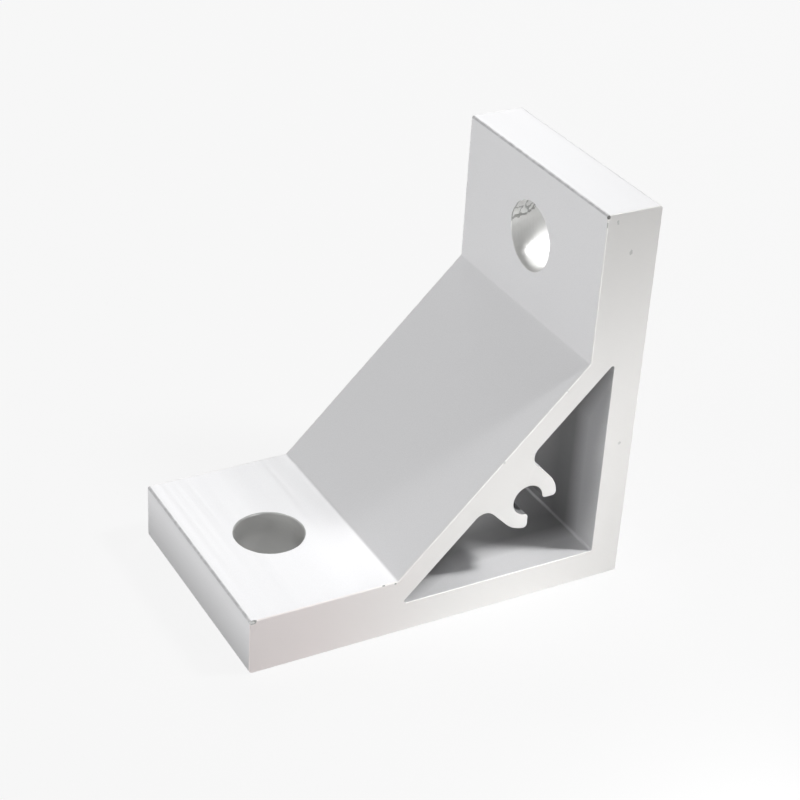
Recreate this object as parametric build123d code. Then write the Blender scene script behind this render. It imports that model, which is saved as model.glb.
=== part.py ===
"""T slot corner bracket.

A short length of extruded aluminium angle. Two thick legs meet at a square heel, and a thin diagonal
web ties them together. Behind the web is a triangular pocket, and on the web's inner side stands a
C shaped screw port that opens towards the heel. The extrusion is sawn off square, and each leg is
drilled for one bolt. The whole bracket is one piece of metal.

Frame: the outer corner of the heel is the Y axis, and the origin is at the middle of its length. The
base leg lies along +X on its mounting face z = 0, and the upright leg stands along +Z with its mounting
face at x = 0. The sawn faces are at y = -WIDTH / 2 and y = +WIDTH / 2. All sizes are in millimetres.
"""
import os
from math import sqrt

from build123d import *

# Legs
LEG = 53.0              # outer length of each leg, measured from the heel
WIDTH = 32.0            # length sawn off the extrusion
FLANGE = 7.8            # thickness of the solid, drilled end of each leg
FLAT = 20.0             # inner flat of each leg, from its free end to the web

# Web and pocket
WEB = 3.0               # thickness of the diagonal web
POCKET_WALL = 4.2       # thickness of the legs behind the pocket

# Screw port
PORT_OFFSET = 15.0      # centre of the port, from both mounting faces
PORT_BORE = 4.2         # diameter that the screw bites into
PORT_WALL = 2.0         # thickness of the C round the bore
LIP_REACH = 0.2         # how far each lip of the C runs past the middle of the bore

# Bolt holes
HOLE = 9.0              # diameter
HOLE_EDGE = 10.0        # centre of the hole, from the free end of its leg

# Rounded corners of the extruded section
HEEL_ROUND = 0.25       # heel, and the inner corner of each free end
TOE_ROUND = 0.5         # corner of each free end on the mounting side
CREASE_ROUND = 0.5      # between the inner flat of a leg and the web
POCKET_ROUND = 0.3      # the three corners of the pocket
ROOT_ROUND = 1.75       # where the port grows out of the web
LIP_ROUND = 0.5         # both corners of each lip

# Edges eased after sawing and drilling
EDGE_BREAK = 0.15

# Both legs are alike, so the bracket is its own mirror image about this plane through the heel
DIAGONAL = Plane(origin=(0, 0, 0), z_dir=(1, 0, -1))

# Every point on the outer or inner face of the web has the same sum of its two section coordinates
WEB_OUTER_SUM = LEG - FLAT + FLANGE
WEB_INNER_SUM = WEB_OUTER_SUM - WEB * sqrt(2)

# From the centre of the port to the inner face of the web, square to the web
NECK = (WEB_INNER_SUM - 2 * PORT_OFFSET) / sqrt(2)
PORT_RADIUS = PORT_BORE / 2 + PORT_WALL


def both(points):
    """The given section points and their mirror images about the diagonal."""
    return points + [(v, u) for u, v in points if u != v]


def corners(sketch, points):
    """The corner of the sketch that lies nearest to each point."""
    return [sketch.vertices().sort_by_distance(Vector(*point))[0] for point in points]


def angle_outline():
    """Both legs and the space between them, as far as the outer face of the web."""
    outline = Polyline(
        (0, 0),
        (LEG, 0),
        (LEG, FLANGE),
        (LEG - FLAT, FLANGE),
        (FLANGE, LEG - FLAT),
        (FLANGE, LEG),
        (0, LEG),
        close=True,
    )
    face = make_face(outline)
    face = fillet(corners(face, [(0, 0)] + both([(LEG, FLANGE)])), HEEL_ROUND)
    face = fillet(corners(face, both([(LEG, 0)])), TOE_ROUND)
    return fillet(corners(face, both([(LEG - FLAT, FLANGE)])), CREASE_ROUND)


def pocket():
    """The triangle between the legs and the web, before the port stands in it."""
    tip = WEB_INNER_SUM - POCKET_WALL
    outline = Polyline((POCKET_WALL, POCKET_WALL), (tip, POCKET_WALL), (POCKET_WALL, tip), close=True)
    face = make_face(outline)
    return fillet(face.vertices(), POCKET_ROUND)


def port():
    """The C of the screw port on its neck, with the gap between the lips facing the heel."""
    centre = Pos(PORT_OFFSET, PORT_OFFSET)
    neck_length = NECK + WEB / 2
    neck = Rot(0, 0, 45) * Rectangle(neck_length, 2 * PORT_RADIUS, align=(Align.MIN, Align.CENTER))
    gap = Pos(-LIP_REACH, -LIP_REACH) * Rectangle(LEG, LEG, align=Align.MAX)
    ring = Circle(PORT_RADIUS) + neck - Circle(PORT_BORE / 2)
    lips = ring - gap
    lip_ends = [vertex for vertex in lips.vertices() if is_lip_end(vertex)]
    return centre * fillet(lip_ends, min(LIP_ROUND, 0.45 * PORT_WALL))


def is_lip_end(vertex):
    """True at the corners that the gap leaves on the lips, round the port's own centre."""
    return min(abs(vertex.X + LIP_REACH), abs(vertex.Y + LIP_REACH)) < 1e-6


def port_bore():
    """The round hole that the screw bites into, whole even where the web stands close to the port."""
    return Pos(PORT_OFFSET, PORT_OFFSET) * Circle(PORT_BORE / 2)


def section():
    """The whole extruded section, in the plane of the sawn faces."""
    face = angle_outline() - (pocket() - port()) - port_bore()
    along = NECK / sqrt(2)
    across = PORT_RADIUS / sqrt(2)
    root = (PORT_OFFSET + along - across, PORT_OFFSET + along + across)
    return fillet(corners(face, both([root])), min(ROOT_ROUND, NECK / 2))


def bolt_hole():
    """The cutter for the hole in the base leg."""
    return Pos(LEG - HOLE_EDGE, 0, FLANGE / 2) * Cylinder(HOLE / 2, 2 * FLANGE)


def corner_bracket():
    """The extrusion sawn to length, drilled in both legs, with its sawn and drilled edges eased."""
    body = extrude(Plane.XZ * section(), WIDTH / 2, both=True)
    base_hole = bolt_hole()
    body = body - base_hole - mirror(base_hole, about=DIAGONAL)
    across = body.faces().filter_by(Axis.Y).sort_by(Axis.Y)
    sawn_edges = across[0].edges() + across[-1].edges()
    hole_edges = [edge for edge in body.edges().filter_by(GeomType.CIRCLE) if abs(edge.radius - HOLE / 2) < 1e-6]
    return chamfer(sawn_edges + hole_edges, EDGE_BREAK)


def main():
    os.makedirs("parts", exist_ok=True)
    bracket = corner_bracket()
    bracket.label = "corner_bracket"
    export_step(bracket, "parts/corner_bracket.step")


main()
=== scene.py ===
"""T slot corner bracket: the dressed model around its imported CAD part.

The bracket is one piece of extruded aluminium, sawn to length and drilled in both legs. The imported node
keeps its place and size, and a finer body with the same section stands for it here. The body's sawn
edges are eased unevenly, its bolt holes carry the marks of the drill, and small nicks and pits are cut
into it. Its finishes are the anodised skin outside and in the pocket, the sawn ends, the drilled walls
and torn metal.

Frame: the outer edge of the heel is the Y axis, the base leg lies along +X on the floor, and the upright
leg stands along +Z. Everything is in metres. A point of the section is given by its distances from the
upright's mounting face and from the base's mounting face.
"""
import math

import bmesh
import bpy
from bpy.props import FloatProperty, FloatVectorProperty, PointerProperty
from mathutils import Matrix, Quaternion, Vector, noise


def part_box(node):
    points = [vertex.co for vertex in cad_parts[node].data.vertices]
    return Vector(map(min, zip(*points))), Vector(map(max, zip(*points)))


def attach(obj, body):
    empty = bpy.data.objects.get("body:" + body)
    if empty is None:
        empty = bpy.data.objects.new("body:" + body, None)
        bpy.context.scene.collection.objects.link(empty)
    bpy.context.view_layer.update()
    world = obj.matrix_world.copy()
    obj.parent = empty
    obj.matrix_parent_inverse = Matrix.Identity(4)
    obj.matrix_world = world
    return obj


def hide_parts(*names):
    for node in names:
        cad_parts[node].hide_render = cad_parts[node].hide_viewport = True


bl_info = {
    "name": "T slot corner bracket",
    "version": (1, 0, 0),
    "blender": (4, 5, 0),
    "location": "3D View > Sidebar > Bracket",
    "description": "Builds a drilled aluminium corner bracket with a screw port, and a stage to look at it",
    "category": "Add Mesh",
}

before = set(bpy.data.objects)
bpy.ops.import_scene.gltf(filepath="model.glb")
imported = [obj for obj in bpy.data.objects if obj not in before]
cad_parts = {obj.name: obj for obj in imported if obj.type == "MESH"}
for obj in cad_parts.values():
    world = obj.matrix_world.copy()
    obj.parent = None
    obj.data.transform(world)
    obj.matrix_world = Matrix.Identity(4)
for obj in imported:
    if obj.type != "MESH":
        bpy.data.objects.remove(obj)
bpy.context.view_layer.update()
LOWEST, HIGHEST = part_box("corner_bracket")

MM = 0.001

# How finely the section is divided: along straight runs, round arcs and over its sawn edges
RUN_STEP = 0.4 * MM
ARC_STEP = 0.14 * MM
EDGE_STEPS = 4

# How finely a drilled wall is divided, round the hole and along it
WALL_SIDES = 216
WALL_STEP = 0.12 * MM

# How far the cutter for a hole reaches past the metal, where it flares
CUTTER_PAST = 0.5 * MM

# Edges that turn by more than this stay sharp
SHARP_ANGLE = math.radians(32)

# The sawn edges' unevenness, as layers of (share, fineness), and how far apart both ends read it
EDGE_SWAY = (0.35, 0.9)
EDGE_GRAIN = (0.25, 4)
ENDS_APART = 20 * MM

# The drill's feed marks and the grain of its wall, and how unevenly the mouth is eased
FEED_HEIGHT = 0.006 * MM
FEED_PITCH = 0.45 * MM
WALL_GRAIN = (0.01 * MM, 6)
GRAIN_LENGTH = 2 * MM
MOUTH_SWAY = (0.4, 3.1)

# The torn patch of the upright's hole. It runs from the hole's top to its far side, each millimetre of
# depth turns its end back, and its outline sways, by layers of (millimetres, fineness)
TORN_START = math.radians(172)
TORN_END = math.radians(266)
TORN_TURN = math.radians(4)
TORN_REACH = 3.2 * MM
PATCH_SWAY = (0.42, 1.1)
PATCH_GRAIN = (0.22, 3.3)

# How far the patch is sunk, in millimetres, how wide its bank and its dark outline are, and the layers
# that draw its veins: one runs wherever they add up to nearly nothing
TORN_SINK = 0.10
SINK_SWAY = (0.12, 5)
TORN_BANK = 0.15 * MM
TORN_LINE = 0.14 * MM
VEIN_PATH = (1, 2.3)
VEIN_START = (7, 3, 1)
VEIN_SWAY = (0.3, 6)
VEIN_WIDTH = 0.09

# The torn hole's mouth: how much less it is eased, and where its rim of painted shade ends
TORN_MOUTH = 0.55
SHADE_RIM_END = math.radians(270)

# Material slots of the body. From DRILLED on they belong to what is cut out of the extrusion
# DRILLED and BRIGHT are one drilled metal in two colours: painted shade darkens the base hole's wall,
# painted light brightens the upright hole's
SKIN, POCKET, SAWN, DRILLED, BRIGHT, TORN, NICKED = range(7)

# Small nicks and pits, as (centre, half sizes, finish), in millimetres. They must stay clear of each other.
# Each is a ball of this detail, made uneven
MARKS = [
    ((7.75, 15.98, 52.72), (0.22, 0.25, 0.28), NICKED),
    ((7.8, 16, 51.75), (0.11, 0.13, 0.38), TORN),
    ((52.6, 15.97, 7.62), (0.46, 0.26, 0.30), DRILLED),
    ((6.3, 16, 51.9), (0.20, 0.04, 0.28), DRILLED),
    ((3.9, 16, 47.5), (0.24, 0.04, 0.34), DRILLED),
    ((2.0, 16, 20.2), (0.22, 0.05, 0.22), DRILLED),
    ((35.0, 16, 7.75), (0.24, 0.14, 0.10), TORN),
    ((33.4, 16, 7.60), (0.17, 0.10, 0.12), TORN),
    # These BRIGHT nicks are glints on the edges: they take the upright hole's colour, which is painted
    # light
    ((40.6, 16, 7.78), (0.30, 0.08, 0.07), BRIGHT),
    ((46.2, 16, 7.80), (0.22, 0.07, 0.08), BRIGHT),
    ((10.9, 16, 29.8), (0.22, 0.15, 0.20), BRIGHT),
    ((19.1, 16, 21.6), (0.20, 0.15, 0.20), BRIGHT),
]
MARK_DETAIL = 3
MARK_SWAY = (0.45, 1.3)

# A noise texture keeps mostly between these values
NOISE_LOW = 0.3
NOISE_HIGH = 0.7

# The skin's faint die lines, which are long in Y, how high they stand, its grain, and how much both vary
# its roughness and its tone
DIE_LINES = (2600, 18, 2600)
DIE_LINE_HEIGHT = 0.003 * MM
SKIN_GRAIN = 9000.0
SKIN_SWING = 0.03
BUMP_STRENGTH = 0.25

# The line of painted shade round the inner corner of each free end: how far from the corner it fades out
# and is full, and how much it darkens, from the least to the most over this span of its patches
LINE_FADE = 0.38 * MM
LINE_FULL = 0.2 * MM
LINE_SHADE = (0.16, 0.32)
LINE_SPAN = (0.35, 0.6)
LINE_PATCHES = 900.0

# The skin of the base leg's free end lies within this of the leg's full length, and painted shade darkens
# it between these shares of its height
END_SKIN = 0.1 * MM
END_SHADE_SPAN = (0.1, 0.8)

# The pocket's skin takes a band of painted shade: where it starts, is full and ends, as shares of the way
# to the middle, and how light the middle is
SHADE_START, SHADE_FULL, SHADE_LAST, SHADE_END = 0.24, 0.43, 0.6, 0.88
MIDDLE_SHADE = 0.72

# How much sooner the band of painted shade comes in the pocket's tips, which start and are full at these
# shares of the leg
TIP_SHADE_SHIFT = 0.26
TIP_SHADE_SPAN = (0.42, 0.58)

# How light the painted highlight along the crease at the heel is, and how far from the crease and from the
# bore it and the bore's painted shade fade out
CREASE_HIGHLIGHT = 1.25
CREASE_HIGHLIGHT_SPAN = (0.1 * MM, 0.3 * MM)
BORE_SHADE_SPAN = (0.1 * MM, 0.4 * MM)

# Where the centre of the saw blade was, seen along Y, how fine and how high the arcs are that it left, and
# how much they vary the roughness
BLADE_CENTRE = (0.09, 0, -0.13)
BLADE_ARCS = 3000.0
BLADE_ARC_HEIGHT = 0.004 * MM
SAWN_SWING = 0.04

# The shares of the base leg over which its sawn end turns warm, and how light the painted shade leaves the
# upright's sawn end at its top, next to its lower half
WARM_SPAN = (0.5, 0.85)
UPPER_SHADE = 0.94
UPPER_SHADE_SPAN = (0.5, 1)

# Scoring of drilled and torn metal, and how much it varies the roughness
SCORING = 5000.0
SCORING_SWING = 0.05
TORN_ROUGHNESS = 0.6
NICK_ROUGHNESS = 0.7

# The floor, which lies just clear of the bracket
FLOOR_HALF = 6
FLOOR_GAP = 0.02 * MM

# Where the key light and the spot beside it stand, and the beam that shines through the upright's hole
KEY_DIRECTION = (-0.56, 0.30, 0.77)
HOLE_DIRECTION = (-0.63, 0.22, 0.75)

# What the soft lamps aim at, how far off the narrow ones stand and how sharply they end
LAMP_AIM = (0.02, 0, 0.02)
SPOT_DISTANCE = 0.2
SPOT_BLEND = 0.5
BEAM_DISTANCE = 0.04
BEAM_SPREAD = math.radians(1.6)

# The camera, which stands where the photograph was taken from
CAMERA_EYE = (0.13503, 0.18917, 0.15354)
CAMERA_AIM = (0.02609, 0.00172, 0.02435)
CAMERA_LENS = 90.52
CAMERA_ROLL = math.radians(3.61)


class BracketSizes(bpy.types.PropertyGroup):
    """Sizes of the bracket, as its drawing gives them."""

    leg: FloatProperty(
        name="Leg", description="Outer length of each leg, from the heel",
        default=HIGHEST.x - LOWEST.x, unit="LENGTH")
    width: FloatProperty(
        name="Width", description="Length sawn off the extrusion",
        default=HIGHEST.y - LOWEST.y, unit="LENGTH")
    flange: FloatProperty(
        name="Flange", description="Thickness of the solid, drilled end of each leg",
        default=7.8 * MM, unit="LENGTH")
    flat: FloatProperty(
        name="Flat", description="Inner flat of each leg, from its free end to the web",
        default=20 * MM, unit="LENGTH")
    web: FloatProperty(
        name="Web", description="Thickness of the diagonal web",
        default=3 * MM, unit="LENGTH")
    pocket_wall: FloatProperty(
        name="Pocket wall", description="Thickness of the legs behind the pocket",
        default=4.2 * MM, unit="LENGTH")
    port_offset: FloatProperty(
        name="Port offset", description="Centre of the screw port, from both mounting faces",
        default=15 * MM, unit="LENGTH")
    port_bore: FloatProperty(
        name="Port bore", description="Diameter that the screw bites into",
        default=4.2 * MM, unit="LENGTH")
    port_wall: FloatProperty(
        name="Port wall", description="Thickness of the C round the bore",
        default=2 * MM, unit="LENGTH")
    lip_reach: FloatProperty(
        name="Lip reach", description="How far each lip of the C runs past the middle of the bore",
        default=0.2 * MM, unit="LENGTH")
    hole: FloatProperty(
        name="Bolt hole", description="Diameter of the bolt holes",
        default=9 * MM, unit="LENGTH")
    hole_edge: FloatProperty(
        name="Hole edge distance", description="Centre of each bolt hole, from the free end of its leg",
        default=10 * MM, unit="LENGTH")
    heel_round: FloatProperty(
        name="Heel round", description="Radius of the heel and of the inner corner of each free end",
        default=0.25 * MM, unit="LENGTH")
    toe_round: FloatProperty(
        name="Toe round", description="Radius of each free end on its mounting side",
        default=0.5 * MM, unit="LENGTH")
    crease_round: FloatProperty(
        name="Crease round", description="Radius between the inner flat of a leg and the web",
        default=0.5 * MM, unit="LENGTH")
    pocket_round: FloatProperty(
        name="Pocket round", description="Radius of the three corners of the pocket",
        default=0.3 * MM, unit="LENGTH")
    root_round: FloatProperty(
        name="Root round", description="Radius where the port grows out of the web",
        default=1.75 * MM, unit="LENGTH")
    lip_round: FloatProperty(
        name="Lip round", description="Radius of both corners of each lip",
        default=0.5 * MM, unit="LENGTH")
    edge_break: FloatProperty(
        name="Edge break", description="How far the sawn and drilled edges are eased",
        default=0.15 * MM, unit="LENGTH")


class BracketFinish(bpy.types.PropertyGroup):
    """Colours, tones and roughness of the bracket's skin, sawn ends and drilled walls."""

    skin_color: FloatVectorProperty(
        name="Skin", description="Colour of the anodised skin",
        default=(0.80, 0.80, 0.81), min=0, max=1, subtype="COLOR")
    skin_roughness: FloatProperty(
        name="Skin roughness", description="Roughness of the anodised skin",
        default=0.45, min=0, max=1, subtype="FACTOR")
    sawn_color: FloatVectorProperty(
        name="Sawn ends", description="Colour of the sawn ends",
        default=(0.80, 0.79, 0.775), min=0, max=1, subtype="COLOR")
    sawn_warm_color: FloatVectorProperty(
        name="Sawn ends, base leg", description="Colour of the sawn ends near the base leg's free end",
        default=(0.84, 0.785, 0.775), min=0, max=1, subtype="COLOR")
    sawn_roughness: FloatProperty(
        name="Sawn roughness", description="Roughness of the sawn ends",
        default=0.45, min=0, max=1, subtype="FACTOR")
    # The walls of both holes are one drilled metal: the base hole's colour is darker as painted shade, the
    # upright hole's lighter as painted light
    shaded_hole_color: FloatVectorProperty(
        name="Base hole", description="Colour of the wall of the base leg's hole",
        default=(0.60, 0.60, 0.59), min=0, max=1, subtype="COLOR")
    lit_hole_color: FloatVectorProperty(
        name="Upright hole", description="Colour of the wall of the upright leg's hole",
        default=(0.81, 0.81, 0.80), min=0, max=1, subtype="COLOR")
    # The torn colour also gives the painted shade on the rim of the upright hole's mouth
    torn_color: FloatVectorProperty(
        name="Torn metal", description="Colour of the torn lines in the upright's hole and of small nicks",
        default=(0.46, 0.46, 0.45), min=0, max=1, subtype="COLOR")
    nicked_color: FloatVectorProperty(
        name="Dark nick", description="Colour of the nick in the upright's corner",
        default=(0.28, 0.28, 0.27), min=0, max=1, subtype="COLOR")
    drilled_roughness: FloatProperty(
        name="Drilled roughness", description="Roughness of the walls of the bolt holes",
        default=0.35, min=0, max=1, subtype="FACTOR")
    metallic: FloatProperty(
        name="Metallic", description="How much of the light is mirrored and how little is scattered",
        default=0.3, min=0, max=1, subtype="FACTOR")
    # Painted shade at the foot of the base leg's free end
    foot_shade: FloatProperty(
        name="End tone", description="How light the foot of the base leg's free end is, next to its top",
        default=0.68, min=0, max=1, subtype="FACTOR")
    # Painted shade in the pocket and in the port's bore
    pocket_shade: FloatProperty(
        name="Pocket tone", description="How light the pocket's dull band is, next to the outer skin",
        default=0.46, min=0, max=1, subtype="FACTOR")
    bore_shade: FloatProperty(
        name="Port tone", description="How light the port's bore is, next to the skin round it",
        default=0.4, min=0, max=1, subtype="FACTOR")


class StageLook(bpy.types.PropertyGroup):
    """Floor and light of the stage."""

    floor_color: FloatVectorProperty(
        name="Floor", description="Colour of the floor",
        default=(0.75, 0.75, 0.75), min=0, max=1, subtype="COLOR")
    floor_glow: FloatProperty(
        name="Floor white", description="Share of the floor that shows as plain white, and takes no shadow",
        default=0.88, min=0, max=1, subtype="FACTOR")
    sky_level: FloatProperty(
        name="Surroundings", description="Level of the light from all round",
        default=0.03, min=0)
    key_level: FloatProperty(
        name="Key light", description="Level of the lamp above the heel, on a surface that faces it",
        default=0.4, min=0)
    pocket_level: FloatProperty(
        name="Pocket light", description="Level of the narrow lamp that shines into the pocket",
        default=1.12, min=0)
    hole_level: FloatProperty(
        name="Hole light", description="Level of the beam that shines through the upright's hole",
        default=1.2, min=0)
    side_level: FloatProperty(
        name="Side light", description="Level of the soft lamp beyond the base leg's free end",
        default=0.44, min=0)
    near_level: FloatProperty(
        name="Near light", description="Level of the small lamp close in front of the near sawn end",
        default=0.25, min=0)
    back_level: FloatProperty(
        name="Back light", description="Level of the broad lamp behind the bracket, which its tops mirror",
        default=0.26, min=0)


# The section

def arc(centre, radius, start, sweep):
    """Points along an arc, both ends included. Angles are in radians."""
    count = max(3, math.ceil(abs(sweep) * radius / ARC_STEP))
    angles = [start + sweep * i / count for i in range(count + 1)]
    return [Vector((centre[0] + radius * math.cos(a), centre[1] + radius * math.sin(a))) for a in angles]


def between(first, last):
    """The signed angle from one direction to another, in radians."""
    return math.atan2(first.x * last.y - first.y * last.x, first.dot(last))


def rounded_corner(before, at, after, radius):
    """The arc that rounds a corner between its two neighbours."""
    to_before = (before - at).normalized()
    to_after = (after - at).normalized()
    half = abs(between(to_before, to_after)) / 2
    centre = at + (to_before + to_after).normalized() * (radius / math.sin(half))
    reach = radius / math.tan(half)
    first = at + to_before * reach - centre
    last = at + to_after * reach - centre
    return arc(centre, radius, math.atan2(first.y, first.x), between(first, last))


def outline(corners):
    """A closed outline through corners given as (point, radius), with its straight runs divided."""
    bends = []
    for i, (at, radius) in enumerate(corners):
        before = corners[i - 1][0]
        after = corners[(i + 1) % len(corners)][0]
        bends += rounded_corner(before, at, after, radius) if radius else [at]
    points = []
    for i, here in enumerate(bends):
        there = bends[(i + 1) % len(bends)]
        count = max(1, round((there - here).length / RUN_STEP))
        points += [here.lerp(there, k / count) for k in range(count)]
    return points


def swapped(corners):
    """The same corners on the other side of the diagonal, in reverse order."""
    return [(Vector((at.y, at.x)), radius) for at, radius in reversed(corners)]


def outer_corners(s):
    """Half of the outline of both legs and the web's outer face, from the heel to the middle of the web."""
    return [
        (Vector((s.leg, 0)), s.toe_round),
        (Vector((s.leg, s.flange)), s.heel_round),
        (Vector((s.leg - s.flat, s.flange)), s.crease_round),
    ]


def web_inner_sum(s):
    """What the two distances of any point on the web's inner face add up to."""
    return s.leg - s.flat + s.flange - s.web * math.sqrt(2)


def lip_corners(s):
    """The rounded end of one lip of the port, from its outer arc to its bore, and the arcs' end angles."""
    face = s.port_offset - s.lip_reach
    middle = face + s.lip_round
    aside = s.lip_round - s.lip_reach
    outside = s.port_bore / 2 + s.port_wall - s.lip_round
    inside = s.port_bore / 2 + s.lip_round
    low = Vector((middle, s.port_offset - math.sqrt(outside ** 2 - aside ** 2)))
    high = Vector((middle, s.port_offset - math.sqrt(inside ** 2 - aside ** 2)))
    centre = Vector((s.port_offset, s.port_offset))
    outer_angle = math.atan2(low.y - centre.y, low.x - centre.x)
    bore_angle = math.atan2(high.y - centre.y, high.x - centre.x)
    points = arc(low, s.lip_round, outer_angle, -math.pi - outer_angle)
    points += arc(high, s.lip_round, math.pi, bore_angle)
    return points, outer_angle, bore_angle


def port_corners(s):
    """Half of the port, from its root on the web, round one lip, to the back of its bore."""
    centre = Vector((s.port_offset, s.port_offset))
    radius = s.port_bore / 2 + s.port_wall
    along = web_inner_sum(s) / 2 - s.port_offset
    across = radius / math.sqrt(2)
    lip, outer_angle, bore_angle = lip_corners(s)
    points = arc(centre, radius, -math.pi / 4, outer_angle + math.pi / 4)[:-1]
    points += lip
    points += arc(centre, s.port_bore / 2, bore_angle, math.pi / 4 - bore_angle)[1:]
    root = centre + Vector((along + across, along - across))
    return [(root, s.root_round)] + [(point, 0) for point in points]


def pocket_corners(s):
    """The outline of the pocket behind the web, with the port standing in it."""
    heel = Vector((s.pocket_wall, s.pocket_wall))
    tip = Vector((web_inner_sum(s) - s.pocket_wall, s.pocket_wall))
    half = [(tip, s.pocket_round)] + port_corners(s)
    return [(heel, s.pocket_round)] + half + swapped(half)[1:]


# The extrusion

def wave(where, layer, start=(0, 0, 0)):
    """Smooth unevenness at a point, from a layer given as (size, fineness)."""
    size, fineness = layer
    return size * noise.noise(where * fineness + Vector(start))


def inward(points, side):
    """Unit directions square to a closed outline, to its left where side is 1."""
    found = []
    for i, here in enumerate(points):
        before = (here - points[i - 1]).normalized()
        after = (points[(i + 1) % len(points)] - here).normalized()
        along = before + after
        found.append(Vector((-along.y, along.x)).normalized() * side)
    return found


def eased(point, end, amount):
    """How far a sawn edge is eased at a point of the section: never quite the same."""
    where = Vector((point.x, end * ENDS_APART, point.y)) / MM
    return amount * (1 + wave(where, EDGE_SWAY) + wave(where, EDGE_GRAIN))


def loop_rings(bm, points, side, amount, s):
    """Rings of vertices for one outline, from one sawn face to the other, with its edges eased."""
    directions = inward(points, side)
    rings = []
    for end in (-1, 1):
        steps = range(EDGE_STEPS, -1, -1) if end < 0 else range(EDGE_STEPS + 1)
        for k in steps:
            turn = math.pi / 2 * k / EDGE_STEPS
            ring = []
            for point, direction in zip(points, directions):
                radius = eased(point, end, amount)
                at = point + direction * radius * (1 - math.cos(turn))
                y = end * (s.width / 2 - radius * (1 - math.sin(turn)))
                ring.append(bm.verts.new((at.x, y, at.y)))
            rings.append(ring)
    return rings


def skin_rings(bm, rings, flip, skin):
    """Faces between neighbouring rings: the long ones are the extruded skin, the others sawn edges."""
    for i, (first, second) in enumerate(zip(rings, rings[1:])):
        for k in range(len(first)):
            corner = (first[k - 1], first[k], second[k], second[k - 1])
            face = bm.faces.new(corner[::-1] if flip else corner)
            face.material_index = skin if i == EDGE_STEPS else SAWN


def ring_edges(bm, ring):
    """The edges round one ring."""
    return [bm.edges.get((ring[k - 1], ring[k])) for k in range(len(ring))]


def finished_mesh(bm, name):
    """A mesh of what was built, with all its faces turned outward."""
    bmesh.ops.recalc_face_normals(bm, faces=bm.faces)
    mesh = bpy.data.meshes.new(name)
    bm.to_mesh(mesh)
    bm.free()
    return mesh


def extrusion_mesh(s):
    """The sawn length of extrusion, before it is drilled."""
    bm = bmesh.new()
    outer = outer_corners(s)
    loops = [
        (outline([(Vector((0, 0)), s.heel_round)] + outer + swapped(outer)), 1, SKIN, s.edge_break),
        (outline(pocket_corners(s)), -1, POCKET, s.edge_break / 2),
    ]
    ends = {0: [], -1: []}
    for points, side, skin, amount in loops:
        rings = loop_rings(bm, points, side, amount, s)
        skin_rings(bm, rings, side > 0, skin)
        for end in ends:
            ends[end] += ring_edges(bm, rings[end])
    for end, edges in ends.items():
        normal = (0, -1 if end == 0 else 1, 0)
        filled = bmesh.ops.triangle_fill(bm, use_beauty=True, edges=edges, normal=normal)
        for face in filled["geom"]:
            if isinstance(face, bmesh.types.BMFace):
                face.material_index = SAWN
    return finished_mesh(bm, "extrusion")


# What is cut out of it

def hole_frame(origin, along):
    """A frame whose Z axis runs along a hole, and whose Y axis runs along the extrusion."""
    z = Vector(along)
    y = Vector((0, 1, 0))
    x = y.cross(z)
    return Matrix.Translation(origin) @ Matrix((x, y, z)).transposed().to_4x4()


def torn_depth(s, depth, angle):
    """How far inside the torn patch of the upright's hole a point lies: less than nothing is outside."""
    arc_length = angle * s.hole / 2
    low = (TORN_END - depth / MM * TORN_TURN) * s.hole / 2 - arc_length
    high = arc_length - TORN_START * s.hole / 2
    deep = TORN_REACH - depth
    where = Vector((arc_length, depth, 0)) / MM
    sway = wave(where, PATCH_SWAY) + wave(where, PATCH_GRAIN)
    return min(low, high, deep) + sway * MM


def drill_radius(s, depth, angle, torn):
    """Radius of a drilled hole at a depth below its mouth, and the finish there. Torn is 1 or 0."""
    from_mouth = min(depth, s.flange - depth)
    where = Vector((math.cos(angle), math.sin(angle), depth / GRAIN_LENGTH))
    ease = s.edge_break * (1 - torn * TORN_MOUTH + wave(where, MOUTH_SWAY))
    feed = FEED_HEIGHT * math.sin(2 * math.pi * (depth / FEED_PITCH + angle / (2 * math.pi)))
    radius = s.hole / 2
    radius += feed + wave(where, WALL_GRAIN) + max(0, ease - from_mouth)
    if not torn:
        return radius, DRILLED
    inside = torn_depth(s, depth, angle)
    sunk = max(0, min(1, inside / TORN_BANK))
    radius += sunk * (TORN_SINK + wave(where, SINK_SWAY)) * MM
    vein = abs(wave(where, VEIN_PATH, VEIN_START) + wave(where, VEIN_SWAY))
    ragged = abs(inside) < TORN_LINE or (inside > 0 and vein < VEIN_WIDTH)
    # Painted shade: the eased mouth beside the torn patch takes the dark torn colour
    rim = depth < TORN_LINE and TORN_START < angle < SHADE_RIM_END
    return radius, TORN if ragged or rim else BRIGHT


def drill_rings(bm, matrix, s, torn):
    """A closed cutter in the shape of one bolt hole, from outside one mouth to outside the other."""
    count = round(s.flange / WALL_STEP)
    depths = [s.flange * i / count for i in range(count + 1)]
    depths = [-CUTTER_PAST] + depths + [s.flange + CUTTER_PAST]
    rings = []
    for depth in depths:
        ring = []
        for k in range(WALL_SIDES):
            angle = 2 * math.pi * k / WALL_SIDES
            inside = min(max(depth, 0), s.flange)
            radius, finish = drill_radius(s, inside, angle, torn)
            radius += abs(depth - inside)
            at = matrix @ Vector((radius * math.cos(angle), radius * math.sin(angle), -depth))
            ring.append((bm.verts.new(at), finish))
        rings.append(ring)
    for first, second in zip(rings, rings[1:]):
        for k in range(WALL_SIDES):
            wall = bm.faces.new((first[k - 1][0], first[k][0], second[k][0], second[k - 1][0]))
            wall.material_index = second[k][1]
    for ring in (rings[0], rings[-1]):
        bm.faces.new([vertex for vertex, finish in ring]).material_index = DRILLED


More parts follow.
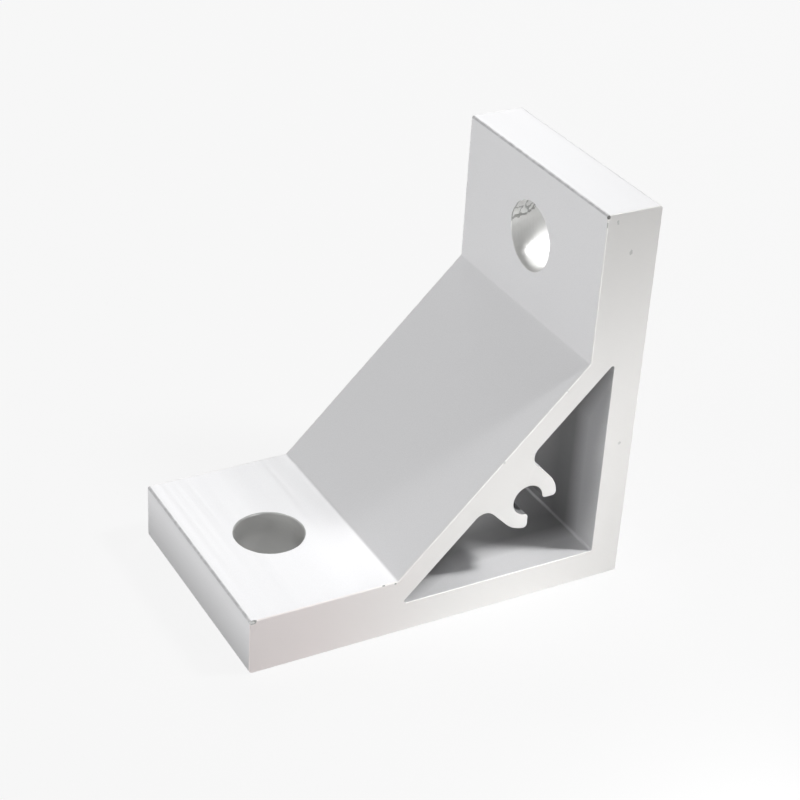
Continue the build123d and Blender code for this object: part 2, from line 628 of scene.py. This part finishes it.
def mark(bm, centre, sizes, finish):
    """A closed, uneven lump, to be cut out as a nick or a pit."""
    centre = Vector(centre) * MM
    lump = bmesh.ops.create_icosphere(bm, subdivisions=MARK_DETAIL, radius=1)
    for vertex in lump["verts"]:
        uneven = 1 + wave(vertex.co, MARK_SWAY, centre / MM)
        vertex.co = centre + Vector(sizes) * vertex.co * uneven * MM
    for face in {face for vertex in lump["verts"] for face in vertex.link_faces}:
        face.material_index = finish


def cutter_mesh(s):
    """All that is cut out of the extrusion: both bolt holes, the nicks and the pits."""
    bm = bmesh.new()
    reach = s.leg - s.hole_edge
    drill_rings(bm, hole_frame((reach, 0, s.flange), (0, 0, 1)), s, 0)
    drill_rings(bm, hole_frame((s.flange, 0, reach), (1, 0, 0)), s, 1)
    for centre, half_sizes, finish in MARKS:
        mark(bm, centre, half_sizes, finish)
    return finished_mesh(bm, "cutter")


def linked(name, data):
    """A new object for a mesh, a lamp or a camera, in the scene."""
    made = bpy.data.objects.new(name, data)
    bpy.context.scene.collection.objects.link(made)
    return made


def settled(obj):
    """The object with its modifiers applied to its mesh."""
    graph = bpy.context.evaluated_depsgraph_get()
    mesh = bpy.data.meshes.new_from_object(obj.evaluated_get(graph))
    obj.modifiers.clear()
    obj.data = mesh
    return obj


def cut_out(body, cutter):
    """Take the cutter out of the body, and the cutter out of the scene."""
    cut = body.modifiers.new("drill", "BOOLEAN")
    cut.operation = "DIFFERENCE"
    cut.solver = "EXACT"
    cut.object = cutter
    settled(body)
    bpy.data.objects.remove(cutter)


def smooth_shading(body):
    """Smooth shading, but for edges that turn by more than the sharp angle and those round what is cut."""
    bm = bmesh.new()
    bm.from_mesh(body.data)
    for face in bm.faces:
        face.smooth = True
    for edge in bm.edges:
        sides = {face.material_index >= DRILLED for face in edge.link_faces}
        edge.smooth = len(sides) == 1 and edge.calc_face_angle(0) < SHARP_ANGLE
    bm.to_mesh(body.data)
    bm.free()
    normals = body.modifiers.new("normals", "WEIGHTED_NORMAL")
    normals.keep_sharp = True
    normals.weight = 100
    settled(body)


# Node helpers

def new_material(name):
    """A node material, with its node tree and its shader."""
    material = bpy.data.materials.new(name)
    material.use_nodes = True
    return material, material.node_tree, material.node_tree.nodes["Principled BSDF"]


def set_inputs(tree, node, inputs):
    """Set a node's inputs to values, or join them to other nodes' sockets."""
    for name, value in inputs.items():
        if isinstance(value, bpy.types.NodeSocket):
            tree.links.new(value, node.inputs[name])
        else:
            node.inputs[name].default_value = value


def add(tree, kind, inputs=None, **settings):
    """A new node with its settings and inputs."""
    made = tree.nodes.new(kind)
    for name, value in settings.items():
        setattr(made, name, value)
    set_inputs(tree, made, inputs or {})
    return made


def calc(tree, operation, *values):
    """The result of an operation on numbers."""
    return add(tree, "ShaderNodeMath", dict(enumerate(values)), operation=operation).outputs[0]


def calc_vector(tree, operation, *values):
    """The result of an operation on vectors: a vector, or the number that a distance or a length is."""
    outputs = add(tree, "ShaderNodeVectorMath", dict(enumerate(values)), operation=operation).outputs
    return outputs["Value" if operation in ("DISTANCE", "LENGTH") else "Vector"]


def ranged(tree, value, start, end, low, high, **settings):
    """A value carried over to another range: low at the start, high at the end, and level beyond."""
    inputs = {"Value": value, "From Min": start, "From Max": end, "To Min": low, "To Max": high}
    return add(tree, "ShaderNodeMapRange", inputs, **settings).outputs[0]


def around(tree, value, middle, swing):
    """A noise value carried over to a swing to both sides of a middle."""
    return ranged(tree, value, NOISE_LOW, NOISE_HIGH, middle - swing, middle + swing)


def texture(tree, source, place, scale, detail, **settings):
    """The value of a noise texture at a place, given as its input named source."""
    inputs = {source: place, "Scale": scale, "Detail": detail}
    return add(tree, "ShaderNodeTexNoise", inputs, **settings).outputs["Fac"]


def bump(tree, height, distance):
    """A shading normal that follows a height, of this distance where it is 1."""
    inputs = {"Height": height, "Strength": BUMP_STRENGTH, "Distance": distance}
    return add(tree, "ShaderNodeBump", inputs).outputs[0]


def bracket_place(tree):
    """The place of each point on the bracket, in metres."""
    return add(tree, "ShaderNodeTexCoord").outputs["Object"]


def axes(tree, place):
    """The three coordinates of a place."""
    return add(tree, "ShaderNodeSeparateXYZ", {0: place}).outputs


def ramp(tree, value, stops):
    """The colour that a ramp gives a value, through stops given as (position, colour)."""
    made = add(tree, "ShaderNodeValToRGB", {"Fac": value})
    stops = list(stops)
    elements = made.color_ramp.elements
    while len(elements) < len(stops):
        elements.new(0.5)
    for element, (position, color) in zip(elements, stops):
        element.position = position
    for element, (position, color) in zip(elements, stops):
        element.color = (*color, 1)
    return made.outputs["Color"]


def scale_color(tree, shader, tone):
    """Multiply what feeds the shader's base colour by a tone."""
    color = shader.inputs["Base Color"].links[0].from_socket
    set_inputs(tree, shader, {"Base Color": calc_vector(tree, "MULTIPLY", color, tone)})


# Finishes

def skin_material(name, look):
    """Anodised skin: satin, with the faint lines of the die along the extrusion."""
    material, tree, shader = new_material(name)
    place = bracket_place(tree)
    drawn = add(tree, "ShaderNodeMapping", {"Vector": place, "Scale": DIE_LINES}, vector_type="POINT")
    line = texture(tree, "Vector", drawn.outputs[0], 1.0, 3.0)
    grain = texture(tree, "Vector", place, SKIN_GRAIN, 2.0)
    tone = around(tree, grain, 1, SKIN_SWING)
    set_inputs(tree, shader, {
        "Base Color": calc_vector(tree, "MULTIPLY", tuple(look.skin_color), tone),
        "Roughness": around(tree, line, look.skin_roughness, SKIN_SWING),
        "Normal": bump(tree, line, DIE_LINE_HEIGHT),
        "Metallic": look.metallic})
    return material, tree, shader, place


def outer_material(look, s):
    """Skin outside, with painted shade: a dark line at each free end's inner corner, and the base leg's end
    darkening to its foot.
    """
    material, tree, shader, place = skin_material("anodised_skin", look)
    axis = axes(tree, place)
    more = calc(tree, "MAXIMUM", axis["X"], axis["Z"])
    less = calc(tree, "MINIMUM", axis["X"], axis["Z"])
    section = add(tree, "ShaderNodeCombineXYZ", {0: more, 1: less}).outputs[0]
    to_corner = calc_vector(tree, "DISTANCE", section, (s.leg, s.flange, 0))
    near = ranged(tree, to_corner, LINE_FADE, LINE_FULL, 0.0, 1.0, interpolation_type="SMOOTHSTEP")
    patches = texture(tree, "Vector", place, LINE_PATCHES, 3.0)
    # Painted shade: the skin darkens in ragged patches along each free end's inner corner
    shaded = calc(tree, "MULTIPLY", near, ranged(tree, patches, *LINE_SPAN, *LINE_SHADE))
    # Painted shade: the base leg's free end darkens towards its foot, next to the floor
    at_end = calc(tree, "GREATER_THAN", axis["X"], s.leg - END_SKIN)
    low, high = (share * s.flange for share in END_SHADE_SPAN)
    lower = ranged(tree, axis["Z"], low, high, look.foot_shade, 1.0)
    end = add(tree, "ShaderNodeMix", {"Factor": at_end, "A": 1.0, "B": lower}).outputs[0]
    scale_color(tree, shader, calc(tree, "MULTIPLY", calc(tree, "SUBTRACT", 1.0, shaded), end))
    return material


def pocket_material(look, s):
    """Skin inside the pocket: a band of painted shade between mouths and middle, painted shade in the bore
    and a painted highlight along the crease.
    """
    material, tree, shader, place = skin_material("pocket_skin", look)
    axis = axes(tree, place)
    # Painted shade: the pocket's skin darkens in a band inside its mouths, sooner in its tips, and is
    # lighter again in the middle
    deep = ranged(tree, calc(tree, "ABSOLUTE", axis["Y"]), s.width / 2, 0.0, 0.0, 1.0)
    more = calc(tree, "MAXIMUM", axis["X"], axis["Z"])
    start, full = (share * s.leg for share in TIP_SHADE_SPAN)
    at_tip = ranged(tree, more, start, full, 0.0, TIP_SHADE_SHIFT)
    band = ramp(tree, calc(tree, "ADD", deep, at_tip), [
        (SHADE_START, (1,) * 3), (SHADE_FULL, (look.pocket_shade,) * 3),
        (SHADE_LAST, (look.pocket_shade,) * 3), (SHADE_END, (MIDDLE_SHADE,) * 3)])
    section = calc_vector(tree, "MULTIPLY", place, (1, 0, 1))
    # Painted highlight: the skin along the crease at the heel is lighter
    heel = s.pocket_wall + s.pocket_round / 3
    to_crease = calc_vector(tree, "DISTANCE", section, (heel, 0, heel))
    crease = ranged(tree, to_crease, *CREASE_HIGHLIGHT_SPAN, CREASE_HIGHLIGHT, 1.0)
    # Painted shade: the port's bore is darker than the skin round it
    to_port = calc_vector(tree, "DISTANCE", section, (s.port_offset, 0, s.port_offset))
    inner, outer = (s.port_bore / 2 + reach for reach in BORE_SHADE_SPAN)
    bore = ranged(tree, to_port, inner, outer, look.bore_shade, 1.0)
    scale_color(tree, shader, calc(tree, "MULTIPLY", crease, bore))
    scale_color(tree, shader, band)
    return material


def sawn_material(look, s):
    """Sawn end: bare metal with the blade's shallow arcs, a little warmer towards the base leg's end, and
    with painted shade that darkens it towards the upright's top.
    """
    material, tree, shader = new_material("sawn_ends")
    place = bracket_place(tree)
    from_blade = calc_vector(tree, "SUBTRACT", place, BLADE_CENTRE)
    far = calc_vector(tree, "LENGTH", calc_vector(tree, "MULTIPLY", from_blade, (1, 0, 1)))
    arcs = texture(tree, "W", far, BLADE_ARCS, 2.0, noise_dimensions="1D")
    axis = axes(tree, place)
    along = ranged(tree, axis["X"], 0.0, s.leg, 0.0, 1.0)
    set_inputs(tree, shader, {
        "Base Color": ramp(tree, along, zip(WARM_SPAN, (look.sawn_color, look.sawn_warm_color))),
        "Roughness": around(tree, arcs, look.sawn_roughness, SAWN_SWING),
        "Normal": bump(tree, arcs, BLADE_ARC_HEIGHT),
        "Metallic": look.metallic})
    # Painted shade: the sawn end darkens towards the upright's top
    low, high = (share * s.leg for share in UPPER_SHADE_SPAN)
    scale_color(tree, shader, ranged(tree, axis["Z"], low, high, 1.0, UPPER_SHADE))
    return material


def drilled_material(look, name, color, roughness):
    """Drilled or torn metal, with fine scoring."""
    material, tree, shader = new_material(name)
    scoring = texture(tree, "Vector", bracket_place(tree), SCORING, 3.0)
    set_inputs(tree, shader, {
        "Base Color": (*color, 1),
        "Roughness": around(tree, scoring, roughness, SCORING_SWING),
        "Metallic": look.metallic})
    return material


# The stage

def hang(name, data, aim, direction, distance):
    """A lamp in the scene that stands off from what it aims at, and that the camera doesn't see."""
    made = linked(name, data)
    away = Vector(direction).normalized()
    made.location = Vector(aim) + away * distance
    made.rotation_euler = away.to_track_quat("Z", "Y").to_euler()
    made.visible_camera = False
    return made


def lamp(name, direction, level, distance, across):
    """A soft round lamp that gives this level on a surface of the bracket that faces it."""
    data = bpy.data.lights.new(name, "AREA")
    data.shape = "DISK"
    data.size = across
    data.energy = level * math.pi ** 2 * distance ** 2
    return hang(name, data, LAMP_AIM, direction, distance)


def spot(name, aim, direction, level, across, cone):
    """A narrow lamp that lifts one place to this level on a surface that faces it."""
    data = bpy.data.lights.new(name, "SPOT")
    data.shadow_soft_size = across / 2
    data.spot_size = math.radians(cone)
    data.spot_blend = SPOT_BLEND
    data.energy = level * 4 * math.pi ** 2 * SPOT_DISTANCE ** 2
    return hang(name, data, aim, direction, SPOT_DISTANCE)


def beam(name, aim, direction, level, width, height):
    """A nearly parallel beam through a hole along X, which gives this level on a surface that faces it."""
    data = bpy.data.lights.new(name, "AREA")
    data.shape = "ELLIPSE"
    data.size = width
    data.size_y = height
    data.spread = BEAM_SPREAD
    data.energy = level * math.pi ** 2 / 4 * width * height
    made = hang(name, data, aim, direction, BEAM_DISTANCE)
    z = Vector(direction).normalized()
    x = z.cross(Vector((1, 0, 0))).normalized()
    made.rotation_euler = Matrix((x, z.cross(x), z)).transposed().to_euler()
    return made


def shown_rays(tree):
    """1 for the rays that show the background itself, to the camera or in metal and glass."""
    rays = add(tree, "ShaderNodeLightPath").outputs
    seen = calc(tree, "MAXIMUM", rays["Is Camera Ray"], rays["Is Glossy Ray"])
    return calc(tree, "MAXIMUM", seen, rays["Is Transmission Ray"])


def surroundings(look):
    """Plain surroundings: they show as white, and light the bracket softly from all round."""
    world = bpy.data.worlds.new("surroundings")
    world.use_nodes = True
    tree = world.node_tree
    level = ranged(tree, shown_rays(tree), 0.0, 1.0, look.sky_level, 1.0)
    set_inputs(tree, tree.nodes["Background"], {"Color": (1, 1, 1, 1), "Strength": level})
    return world


def floor_material(look):
    """Plain pale floor: it shows as white, and keeps part of the bracket's shadow."""
    material, tree, shader = new_material("floor")
    share = calc(tree, "MULTIPLY", shown_rays(tree), look.floor_glow)
    white = add(tree, "ShaderNodeEmission", {"Color": (1, 1, 1, 1), "Strength": 1.0})
    mix = add(tree, "ShaderNodeMixShader", {0: share, 1: shader.outputs[0], 2: white.outputs[0]})
    set_inputs(tree, shader, {
        "Base Color": (*look.floor_color, 1), "Roughness": 0.9, "Specular IOR Level": 0.0})
    set_inputs(tree, tree.nodes["Material Output"], {"Surface": mix.outputs[0]})
    return material


def lay_floor(look):
    """A plain square floor."""
    bm = bmesh.new()
    bmesh.ops.create_grid(bm, x_segments=1, y_segments=1, size=FLOOR_HALF)
    mesh = bpy.data.meshes.new("floor")
    bm.to_mesh(mesh)
    bm.free()
    floor = linked("floor", mesh)
    floor.location.z = -FLOOR_GAP
    floor.data.materials.append(floor_material(look))
    return floor


def hang_lamps(look):
    """Four soft lamps, and two narrow ones for the pocket and the upright's hole."""
    lamp("key", KEY_DIRECTION, look.key_level, distance=0.6, across=0.13)
    spot("pocket_spot", (0.0155, 0.012, 0.004), KEY_DIRECTION, look.pocket_level, across=0.028, cone=7.4)
    beam("hole_beam", (0, 0.0003, 0.0428), HOLE_DIRECTION, look.hole_level, width=0.008, height=0.005)
    lamp("side", (0.97, 0.02, 0.17), look.side_level, distance=0.6, across=0.3)
    lamp("near", (-0.05, 0.99, -0.04), look.near_level, distance=0.0765, across=0.03)
    lamp("back", (-0.33, -0.70, 0.63), look.back_level, distance=0.6, across=0.4)


def place_camera():
    """The camera at the photograph's viewing angle."""
    data = bpy.data.cameras.new("camera")
    data.sensor_width = 36
    data.lens = CAMERA_LENS
    data.clip_start = 0.01
    data.clip_end = 20
    camera = linked("camera", data)
    camera.location = Vector(CAMERA_EYE)
    toward = (Vector(CAMERA_AIM) - camera.location).to_track_quat("-Z", "Y")
    camera.rotation_euler = (toward @ Quaternion((0, 0, 1), CAMERA_ROLL)).to_euler()
    return camera


class BRACKET_OT_body(bpy.types.Operator):
    """Build the drilled extrusion in place of the plain node"""

    bl_idname = "bracket.body"
    bl_label = "Build bracket"

    def execute(self, context):
        sizes = context.scene.bracket_sizes
        look = context.scene.bracket_finish
        body = linked("bracket_body", extrusion_mesh(sizes))
        cutter = linked("cutter", cutter_mesh(sizes))
        finishes = [
            outer_material(look, sizes), pocket_material(look, sizes), sawn_material(look, sizes),
            # One drilled metal twice, with painted shade in the base hole and painted light in the
            # upright's hole
            drilled_material(look, "shaded_drilled_walls", look.shaded_hole_color, look.drilled_roughness),
            drilled_material(look, "lit_drilled_walls", look.lit_hole_color, look.drilled_roughness),
            drilled_material(look, "torn_metal", look.torn_color, TORN_ROUGHNESS),
            drilled_material(look, "dark_nick", look.nicked_color, NICK_ROUGHNESS),
        ]
        for obj in (body, cutter):
            for finish in finishes:
                obj.data.materials.append(finish)
        cut_out(body, cutter)
        smooth_shading(body)
        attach(body, "root")
        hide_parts("corner_bracket")
        return {"FINISHED"}


class BRACKET_OT_stage(bpy.types.Operator):
    """Build the floor, the surroundings, the lamps and the camera"""

    bl_idname = "bracket.stage"
    bl_label = "Build stage"

    def execute(self, context):
        look = context.scene.bracket_stage
        scene = context.scene
        floor = lay_floor(look)
        scene.world = surroundings(look)
        hang_lamps(look)
        scene.camera = place_camera()
        scene.view_settings.view_transform = "Standard"
        return {"FINISHED"}


class BRACKET_PT_panel(bpy.types.Panel):
    """Sizes, finishes and stage of the corner bracket"""

    bl_label = "Corner bracket"
    bl_space_type = "VIEW_3D"
    bl_region_type = "UI"
    bl_category = "Bracket"

    def draw(self, context):
        for title, group, operator in (
                ("Bracket", context.scene.bracket_sizes, BRACKET_OT_body),
                ("Finish", context.scene.bracket_finish, None),
                ("Stage", context.scene.bracket_stage, BRACKET_OT_stage)):
            box = self.layout.box()
            box.label(text=title)
            for name in group.bl_rna.properties.keys():
                if name not in ("rna_type", "name"):
                    box.prop(group, name)
            if operator:
                box.operator(operator.bl_idname)


CLASSES = (BracketSizes, BracketFinish, StageLook, BRACKET_OT_body, BRACKET_OT_stage, BRACKET_PT_panel)


def register():
    for cls in CLASSES:
        bpy.utils.register_class(cls)
    bpy.types.Scene.bracket_sizes = PointerProperty(type=BracketSizes)
    bpy.types.Scene.bracket_finish = PointerProperty(type=BracketFinish)
    bpy.types.Scene.bracket_stage = PointerProperty(type=StageLook)


def unregister():
    del bpy.types.Scene.bracket_sizes
    del bpy.types.Scene.bracket_finish
    del bpy.types.Scene.bracket_stage
    for cls in reversed(CLASSES):
        bpy.utils.unregister_class(cls)


def main():
    """Build the bracket and its stage."""
    register()
    bpy.ops.bracket.stage()
    bpy.ops.bracket.body()


if __name__ == "__main__":
    main()
